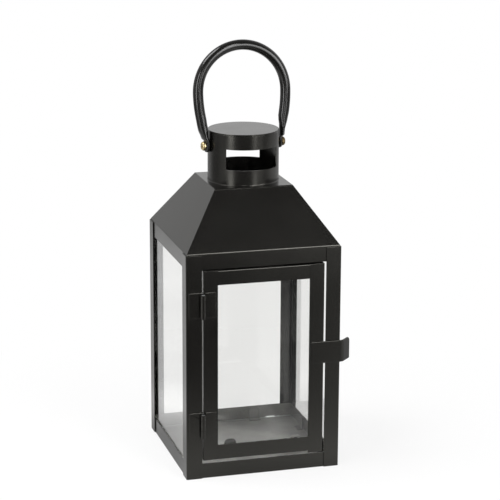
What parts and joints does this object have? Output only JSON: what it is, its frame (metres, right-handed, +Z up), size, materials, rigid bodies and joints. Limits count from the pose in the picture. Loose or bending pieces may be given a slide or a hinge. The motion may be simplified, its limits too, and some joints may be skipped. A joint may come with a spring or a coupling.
{
  "type": "candle lantern",
  "caption": "Square black metal candle lantern with glass sides, a hinged glazed door with a spring latch, a hood roof, a vented round chimney and a rolled leather swing handle.",
  "frame": {"origin": "centre of the flat underside of the base", "axes": "+Z up, -Y out of the door side, +X to the latch side"},
  "size_m": [0.1624, 0.1559, 0.4028],
  "materials": {
    "black_paint": "satin black powder coat",
    "clear_glass": "clear float glass",
    "brass": "polished",
    "black_leather": "smooth rolled leather",
    "core_cord": "twisted cotton",
    "pin_steel": "bare steel"
  },
  "bodies": {
    "body": {"base_floor": "black_paint", "bottom_rail_front": "black_paint", "bottom_rail_back": "black_paint", "bottom_rail_left": "black_paint", "bottom_rail_right": "black_paint", "post_front_left": "black_paint", "post_front_right": "black_paint", "post_back_left": "black_paint", "post_back_right": "black_paint", "roof_panel_front": "black_paint", "roof_panel_back": "black_paint", "roof_panel_left": "black_paint", "roof_panel_right": "black_paint", "roof_top_plate": "black_paint", "chimney_tube": "black_paint", "chimney_cap": "black_paint", "pane_left": "clear_glass", "pane_right": "clear_glass", "pane_back": "clear_glass", "pane_clips_left": "black_paint", "pane_clips_right": "black_paint", "pane_clips_back": "black_paint", "hinge_upper_post_leaf": "black_paint", "hinge_lower_post_leaf": "black_paint", "hinge_upper_pin": "pin_steel", "hinge_lower_pin": "pin_steel", "handle_barrel_left": "brass", "handle_barrel_right": "brass", "handle_screw_left": "brass", "handle_screw_right": "brass"},
    "door": {"door_hinge_stile": "black_paint", "door_latch_stile": "black_paint", "door_top_rail": "black_paint", "door_bottom_rail": "black_paint", "door_glass": "clear_glass", "door_glass_clips": "black_paint", "hinge_upper_door_leaf": "black_paint", "hinge_lower_door_leaf": "black_paint", "latch_strip": "black_paint"},
    "handle": {"handle_sleeve": "black_leather", "handle_core": "core_cord"}
  },
  "joints": [
    {"name": "door_swing", "type": "hinge", "parent": "body", "child": "door", "pos_m": [-0.05955, -0.0783, 0.11], "axis": [0, 0, -1], "range_deg": [0, 180]},
    {"name": "handle_swing", "type": "hinge", "parent": "body", "child": "handle", "pos_m": [0, 0, 0.305], "axis": [0.9976, 0.0698, 0], "range_deg": [-122, 131]}
  ]
}
